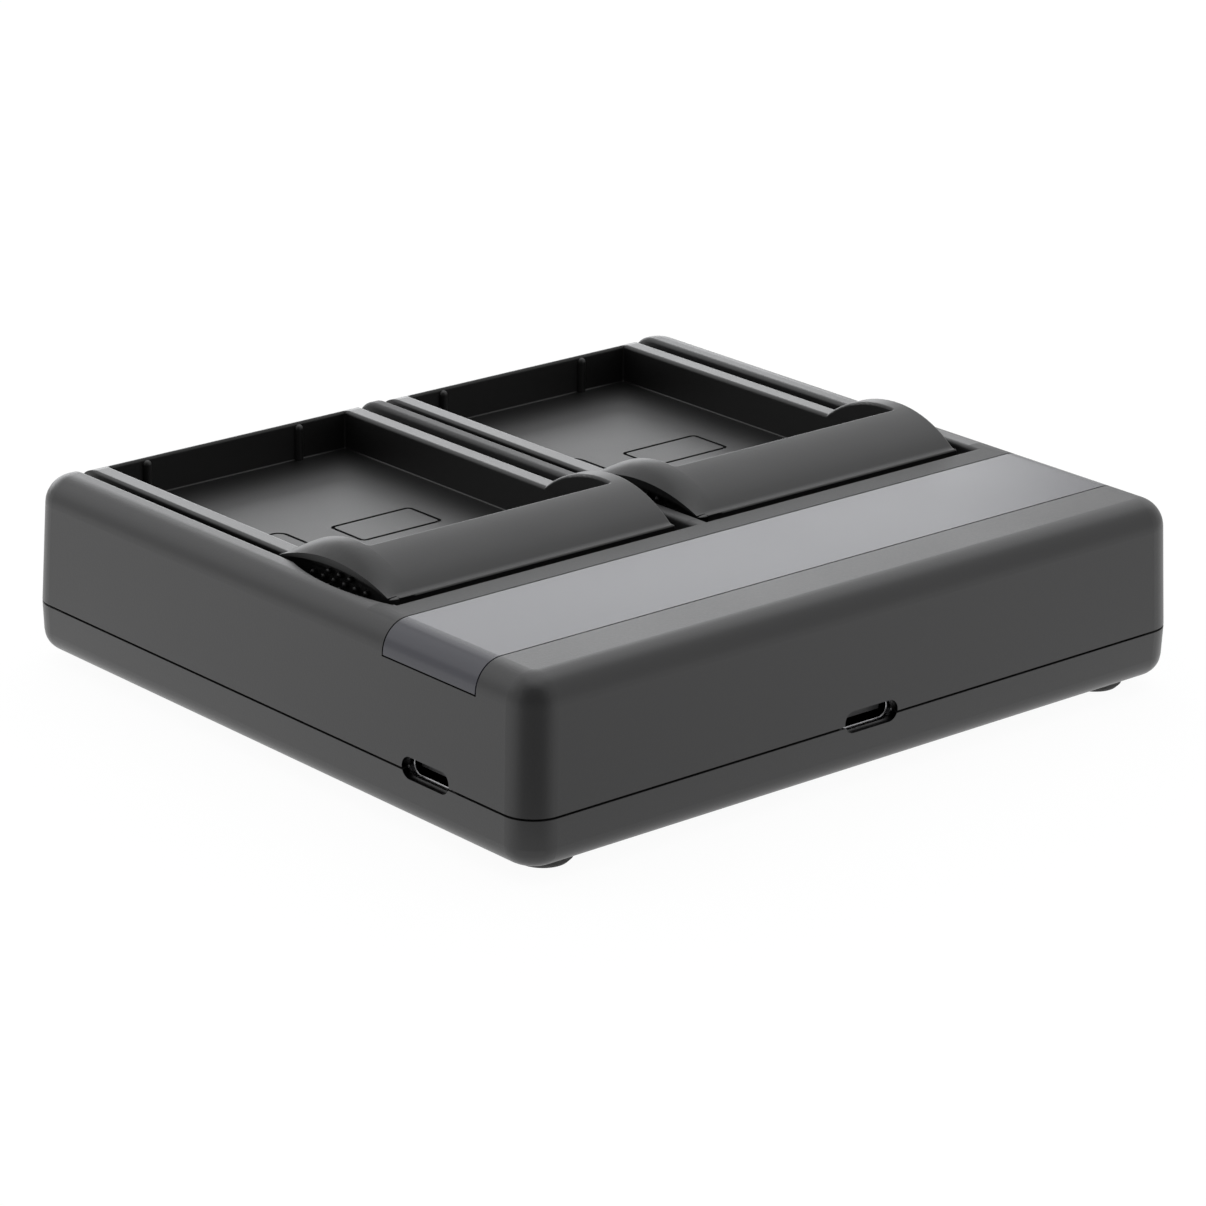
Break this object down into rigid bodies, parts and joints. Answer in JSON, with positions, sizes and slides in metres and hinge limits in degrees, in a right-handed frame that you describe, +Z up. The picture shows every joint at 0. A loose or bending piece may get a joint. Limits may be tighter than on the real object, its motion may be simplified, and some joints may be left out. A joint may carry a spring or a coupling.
{
  "type": "camera battery charger",
  "caption": "Low desktop charger in a two-shell housing, with lift-out battery plates side by side, arched terminal covers, a pale accent strip and small power sockets.",
  "frame": {"origin": "On the table, under the middle of the charger.", "axes": "+Z up. +X across the two bays, towards the wall with the side socket. +Y away from the user, towards the accent strip and the rear socket."},
  "size_m": [0.11, 0.1018, 0.0291],
  "materials": {
    "housing_plastic": "charcoal moulded plastic with a fine spark-eroded grain",
    "plate_plastic": "near-black moulded plastic with a fine grain and smooth rails",
    "strip_plastic": "satin charcoal inlay, smoother than the housing",
    "foot_rubber": "matt black rubber",
    "screw_steel": "blackened steel",
    "board_laminate": "green solder-masked glass-epoxy laminate",
    "socket_steel": "bright nickel-plated steel",
    "insulator_plastic": "black heat-proof plastic",
    "lamp_plastic": "white lamp body",
    "guide_clear": "clear acrylic rod",
    "chip_resin": "black moulding resin",
    "capacitor_can": "bare drawn aluminium can",
    "inductor_ferrite": "dark grey pressed ferrite",
    "contact_brass": "gold-flashed spring brass"
  },
  "bodies": {
    "base": {"upper_housing": "housing_plastic", "lower_housing": "housing_plastic", "accent_strip": "strip_plastic", "front_right_foot": "foot_rubber", "front_left_foot": "foot_rubber", "rear_right_foot": "foot_rubber", "rear_left_foot": "foot_rubber", "case_screws": "screw_steel", "main_board": "board_laminate", "rear_socket_shell": "socket_steel", "rear_socket_tongue": "insulator_plastic", "side_socket_shell": "socket_steel", "side_socket_tongue": "insulator_plastic", "status_led": "lamp_plastic", "light_guide": "guide_clear", "input_chip": "chip_resin", "filter_capacitors": "capacitor_can", "right_inductor": "inductor_ferrite", "left_inductor": "inductor_ferrite", "right_charge_chip": "chip_resin", "left_charge_chip": "chip_resin", "right_terminal_block": "insulator_plastic", "left_terminal_block": "insulator_plastic", "right_base_contacts": "contact_brass", "left_base_contacts": "contact_brass"},
    "right_plate": {"right_battery_plate": "plate_plastic", "right_terminal_cover": "plate_plastic", "right_contact_block": "insulator_plastic", "right_battery_contacts": "contact_brass"},
    "left_plate": {"left_battery_plate": "plate_plastic", "left_terminal_cover": "plate_plastic", "left_contact_block": "insulator_plastic", "left_battery_contacts": "contact_brass"}
  },
  "joints": [
    {"name": "right_plate_lift", "type": "slide", "parent": "base", "child": "right_plate", "axis": [0, 0, 1], "range_m": [0, 0.03]},
    {"name": "left_plate_lift", "type": "slide", "parent": "base", "child": "left_plate", "axis": [0, 0, 1], "range_m": [0, 0.03]}
  ]
}
